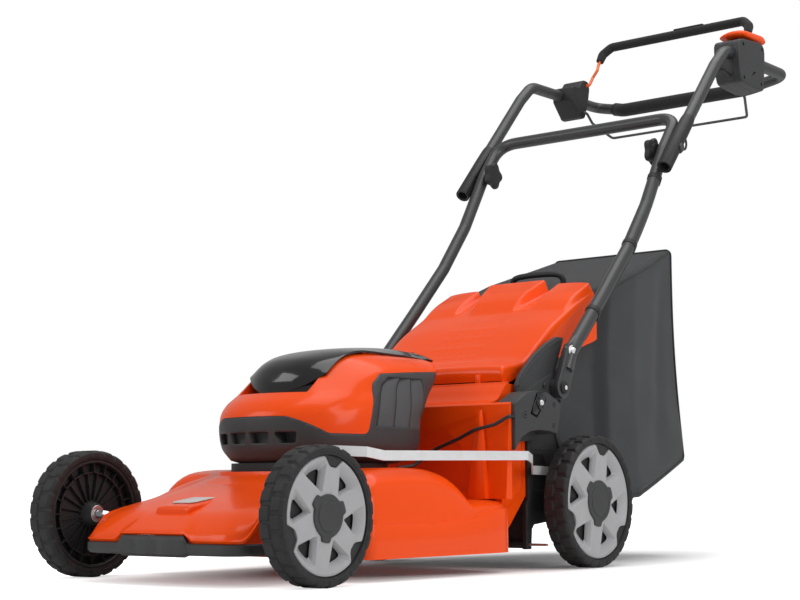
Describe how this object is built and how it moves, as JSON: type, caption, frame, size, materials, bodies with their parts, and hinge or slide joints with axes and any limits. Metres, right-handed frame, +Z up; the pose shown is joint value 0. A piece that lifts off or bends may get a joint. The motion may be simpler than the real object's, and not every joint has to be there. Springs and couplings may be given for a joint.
{
  "type": "lawn mower",
  "caption": "Cordless walk-behind lawn mower with a moulded deck, battery housing, spoked wheels, rear hood, fabric grass bag and a folding tubular handle with two bails.",
  "frame": {"origin": "on the ground, under the middle of the mower's bounding box", "axes": "+Z up, the nose points along -Y, the operator stands at +Y, +X is the mower's left side"},
  "size_m": [0.5352, 1.6769, 1.1925],
  "materials": {
    "orange_plastic": "glossy moulded orange",
    "orange_paint": "orange powder coat",
    "charcoal_plastic": "fine-grained charcoal",
    "black_plastic": "matt black",
    "gloss_black": "polished black",
    "trim_grey": "silver-grey painted",
    "tyre_rubber": "moulded rubber",
    "foam_grip": "closed-cell foam",
    "tube_paint": "dark grey powder coat",
    "bright_steel": "zinc-plated",
    "dark_steel": "black painted steel",
    "motor_alloy": "cast alloy",
    "bag_fabric": "woven dark grey"
  },
  "bodies": {
    "chassis": {"deck_shell": "orange_plastic", "deck_baffle": "orange_plastic", "front_bumper": "charcoal_plastic", "drive_motor": "motor_alloy", "housing_neck": "black_plastic", "housing_base": "charcoal_plastic", "housing_cover": "orange_plastic", "battery_pack": "black_plastic", "rear_tower": "orange_plastic", "side_carrier_left": "black_plastic", "side_carrier_right": "black_plastic", "fold_bracket_left": "black_plastic", "fold_bracket_right": "black_plastic", "lock_lever_left": "charcoal_plastic", "lock_lever_right": "charcoal_plastic", "rear_flap": "black_plastic", "guard_rod": "bright_steel", "pivot_pin_left": "bright_steel", "pivot_pin_right": "bright_steel", "cable_chassis": "black_plastic"},
    "front_axle": {"front_axle_rod": "bright_steel"},
    "rear_axle": {"rear_axle_rod": "bright_steel"},
    "height_link": {"height_link_bar": "bright_steel"},
    "blade": {"blade": "dark_steel"},
    "battery_lid": {"battery_lid": "gloss_black"},
    "rear_hood": {"rear_hood": "orange_plastic"},
    "grass_bag": {"grass_bag": "bag_fabric", "bag_frame": "black_plastic", "bag_handle": "black_plastic"},
    "lower_handle": {"lower_tube": "tube_paint", "clamp_bolt_left": "bright_steel", "clamp_bolt_right": "bright_steel", "cable_lower": "black_plastic"},
    "upper_handle": {"upper_tube": "tube_paint", "rear_grip": "foam_grip", "control_box": "black_plastic", "handle_clamp": "black_plastic", "start_lever": "orange_plastic", "cable_upper": "black_plastic"},
    "knob_left": {"knob_left": "black_plastic"},
    "knob_right": {"knob_right": "black_plastic"},
    "start_bail": {"start_wire": "orange_paint", "start_cover": "foam_grip"},
    "drive_bail": {"drive_wire": "dark_steel"},
    "wheel_front_left": {"tyre_front_left": "tyre_rubber", "rim_front_left": "black_plastic", "trim_front_left": "trim_grey", "hubcap_front_left": "charcoal_plastic"},
    "wheel_front_right": {"tyre_front_right": "tyre_rubber", "rim_front_right": "black_plastic", "trim_front_right": "trim_grey", "hubcap_front_right": "charcoal_plastic"},
    "wheel_rear_left": {"tyre_rear_left": "tyre_rubber", "rim_rear_left": "black_plastic", "trim_rear_left": "trim_grey", "hubcap_rear_left": "charcoal_plastic"},
    "wheel_rear_right": {"tyre_rear_right": "tyre_rubber", "rim_rear_right": "black_plastic", "trim_rear_right": "trim_grey", "hubcap_rear_right": "charcoal_plastic"}
  },
  "joints": [
    {"name": "front_height", "type": "hinge", "parent": "chassis", "child": "front_axle", "pos_m": [0, -0.6875, 0.09], "axis": [1, 0, 0], "range_deg": [0, 56]},
    {"name": "rear_height", "type": "hinge", "parent": "chassis", "child": "rear_axle", "pos_m": [0, 0.0305, 0.105], "axis": [1, 0, 0], "range_deg": [0, 56]},
    {"name": "link_pin", "type": "hinge", "parent": "front_axle", "child": "height_link", "pos_m": [0.2045, -0.6875, 0.15], "axis": [1, 0, 0], "range_deg": [-56, 0]},
    {"name": "wheel_front_left_spin", "type": "hinge", "parent": "front_axle", "child": "wheel_front_left", "pos_m": [0.245, -0.7375, 0.1], "axis": [1, 0, 0], "continuous": true},
    {"name": "wheel_front_right_spin", "type": "hinge", "parent": "front_axle", "child": "wheel_front_right", "pos_m": [-0.245, -0.7375, 0.1], "axis": [1, 0, 0], "continuous": true},
    {"name": "wheel_rear_left_spin", "type": "hinge", "parent": "rear_axle", "child": "wheel_rear_left", "pos_m": [0.245, -0.0195, 0.115], "axis": [1, 0, 0], "continuous": true},
    {"name": "wheel_rear_right_spin", "type": "hinge", "parent": "rear_axle", "child": "wheel_rear_right", "pos_m": [-0.245, -0.0195, 0.115], "axis": [1, 0, 0], "continuous": true},
    {"name": "blade_spin", "type": "hinge", "parent": "chassis", "child": "blade", "pos_m": [0, -0.4425, 0.043], "axis": [0, 0, 1], "continuous": true},
    {"name": "lid_hinge", "type": "hinge", "parent": "chassis", "child": "battery_lid", "pos_m": [0, -0.2535, 0.364], "axis": [-1, 0, 0], "range_deg": [0, 70]},
    {"name": "hood_hinge", "type": "hinge", "parent": "chassis", "child": "rear_hood", "pos_m": [0, -0.1675, 0.338], "axis": [1, 0, 0], "range_deg": [0, 45]},
    {"name": "bag_slide", "type": "slide", "parent": "chassis", "child": "grass_bag", "axis": [0, 1, 0], "range_m": [0, 0.12]},
    {"name": "lower_fold", "type": "hinge", "parent": "chassis", "child": "lower_handle", "pos_m": [0, -0.0635, 0.313], "axis": [-1, 0, 0], "range_deg": [-98, 0]},
    {"name": "upper_fold", "type": "hinge", "parent": "lower_handle", "child": "upper_handle", "pos_m": [0, 0.3195, 0.802], "axis": [1, 0, 0], "range_deg": [0, 150]},
    {"name": "knob_left_spin", "type": "hinge", "parent": "lower_handle", "child": "knob_left", "pos_m": [0.218, 0.3195, 0.802], "axis": [1, 0, 0], "continuous": true},
    {"name": "knob_right_spin", "type": "hinge", "parent": "lower_handle", "child": "knob_right", "pos_m": [-0.218, 0.3195, 0.802], "axis": [1, 0, 0], "continuous": true},
    {"name": "start_bail_hinge", "type": "hinge", "parent": "upper_handle", "child": "start_bail", "pos_m": [0, 0.7225, 1.08], "axis": [-1, 0, 0], "range_deg": [0, 62], "stiffness_Nm_per_rad": 0.5, "springref_deg": -57.3},
    {"name": "drive_bail_hinge", "type": "hinge", "parent": "upper_handle", "child": "drive_bail", "pos_m": [0, 0.7025, 1.012], "axis": [1, 0, 0], "range_deg": [0, 30], "stiffness_Nm_per_rad": 0.3, "springref_deg": -34.38}
  ],
  "couplings": [
    {"joint": "rear_height", "follows": "front_height", "ratio": 1},
    {"joint": "link_pin", "follows": "front_height", "ratio": -1}
  ]
}
